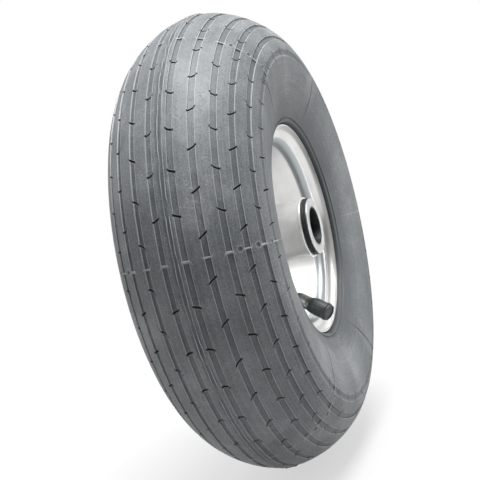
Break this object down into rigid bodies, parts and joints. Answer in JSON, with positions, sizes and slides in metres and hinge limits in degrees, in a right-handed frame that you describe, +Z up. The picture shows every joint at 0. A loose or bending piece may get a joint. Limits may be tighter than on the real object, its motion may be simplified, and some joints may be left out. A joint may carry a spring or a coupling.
{
  "type": "hand truck wheel assembly",
  "caption": "Pneumatic wheel with a ribbed grey tyre on a split pressed-steel rim, a roller-bearing hub for a plain axle and a bent valve stem with its cap.",
  "frame": {"origin": "centre of the wheel, on the axle's axis and in the middle plane of the tyre", "axes": "+Y along the axle towards the valve side, +Z up, with the valve straight below the axle"},
  "size_m": [0.26, 0.0836, 0.26],
  "materials": {
    "tyre_rubber": "matte grey rubber, smooth moulded ribs",
    "tube_rubber": "smooth black rubber",
    "rim_zinc": "bright zinc plate on pressed steel",
    "bolt_zinc": "zinc plate",
    "hub_zinc": "zinc plate, drawn tube",
    "spacer_plastic": "moulded nylon",
    "cage_plastic": "moulded nylon",
    "roller_steel": "ground steel",
    "seal_rubber": "black moulded rubber",
    "sleeve_steel": "dark hardened steel",
    "washer_zinc": "zinc plate",
    "stem_nickel": "nickel-plated brass, dull",
    "core_brass": "turned brass",
    "spring_steel": "spring wire",
    "cap_plastic": "moulded black plastic",
    "gasket_rubber": "soft black rubber"
  },
  "bodies": {
    "axle_core": {"axle_sleeve": "sleeve_steel", "end_washer_outer": "washer_zinc", "end_washer_inner": "washer_zinc"},
    "wheel": {"tyre": "tyre_rubber", "inner_tube": "tube_rubber", "rim_outer_half": "rim_zinc", "rim_inner_half": "rim_zinc", "rim_bolts": "bolt_zinc", "rim_nuts": "bolt_zinc", "hub_tube": "hub_zinc", "bearing_spacer": "spacer_plastic", "bearing_seal_outer": "seal_rubber", "bearing_seal_inner": "seal_rubber", "valve_stem": "stem_nickel", "valve_base": "tube_rubber", "valve_core": "core_brass", "valve_core_spring": "spring_steel"},
    "roller_bearing_outer": {"roller_cage_outer": "cage_plastic", "rollers_outer": "roller_steel"},
    "roller_bearing_inner": {"roller_cage_inner": "cage_plastic", "rollers_inner": "roller_steel"},
    "valve_cap": {"valve_cap": "cap_plastic", "valve_cap_gasket": "gasket_rubber"},
    "valve_pin": {"valve_core_pin": "core_brass"}
  },
  "joints": [
    {"name": "wheel_spin", "type": "hinge", "parent": "axle_core", "child": "wheel", "pos_m": [0, 0, 0], "axis": [0, 1, 0], "continuous": true},
    {"name": "outer_cage_spin", "type": "hinge", "parent": "axle_core", "child": "roller_bearing_outer", "pos_m": [0, 0, 0], "axis": [0, 1, 0], "continuous": true},
    {"name": "inner_cage_spin", "type": "hinge", "parent": "axle_core", "child": "roller_bearing_inner", "pos_m": [0, 0, 0], "axis": [0, 1, 0], "continuous": true},
    {"name": "cap_removal", "type": "slide", "parent": "wheel", "child": "valve_cap", "axis": [0.3584, 0.8176, -0.4507], "range_m": [0, 0.012]},
    {"name": "valve_pin_press", "type": "slide", "parent": "wheel", "child": "valve_pin", "axis": [-0.3584, -0.8176, 0.4507], "range_m": [0, 0.001], "stiffness_N_per_m": 1200, "springref_m": -0.001, "deforming": ["valve_core_spring"]}
  ],
  "couplings": [
    {"joint": "outer_cage_spin", "follows": "wheel_spin", "ratio": 0.55039},
    {"joint": "inner_cage_spin", "follows": "wheel_spin", "ratio": 0.55039}
  ]
}
